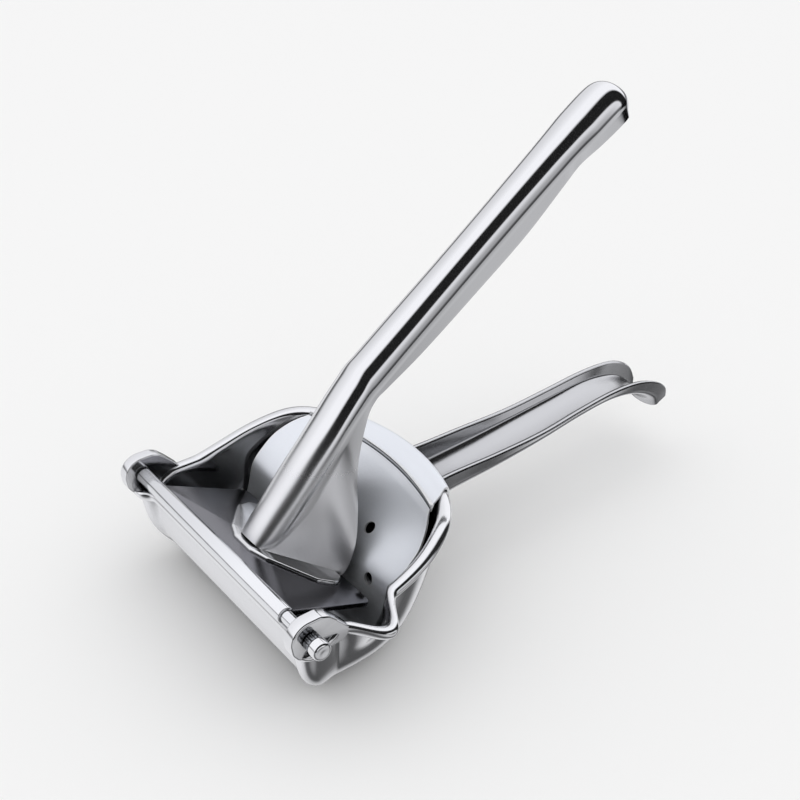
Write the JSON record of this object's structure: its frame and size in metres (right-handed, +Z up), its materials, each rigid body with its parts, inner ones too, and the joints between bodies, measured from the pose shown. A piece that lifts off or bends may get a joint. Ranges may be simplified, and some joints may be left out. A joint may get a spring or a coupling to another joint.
{
  "type": "hand fruit press",
  "caption": "Hand-held cast metal fruit press: basin with one pouring lip and a channel handle, hooked strainer, and a hinged press plate on a second handle",
  "frame": {"origin": "on the basin's flat base, on its middle line 31 mm behind the hinge axis, on the outer face", "axes": "+X along the hinge pin toward its capped end, +Y from the hinge toward the handle tips, +Z up from the base"},
  "size_m": [0.1289, 0.225, 0.168],
  "materials": {
    "cast_aluminium": "polished casting",
    "strainer_sheet": "polished sheet",
    "plate_metal": "mirror polished plate",
    "pin_steel": "bright steel",
    "ring_steel": "fluted ring"
  },
  "bodies": {
    "body": {"lower_body": "cast_aluminium", "strainer": "strainer_sheet"},
    "press": {"press_plate": "plate_metal", "foot_pad": "cast_aluminium", "press_arm": "cast_aluminium", "foot_rivets": "pin_steel"},
    "pin": {"hinge_pin": "pin_steel", "pin_ring": "ring_steel", "pin_cap": "pin_steel"}
  },
  "joints": [
    {"name": "press_hinge", "type": "hinge", "parent": "body", "child": "press", "pos_m": [0, -0.031, 0.036], "axis": [1, 0, 0], "range_deg": [-14, 75]},
    {"name": "pin_slide", "type": "slide", "parent": "body", "child": "pin", "axis": [1, 0, 0], "range_m": [0, 0.118]}
  ]
}
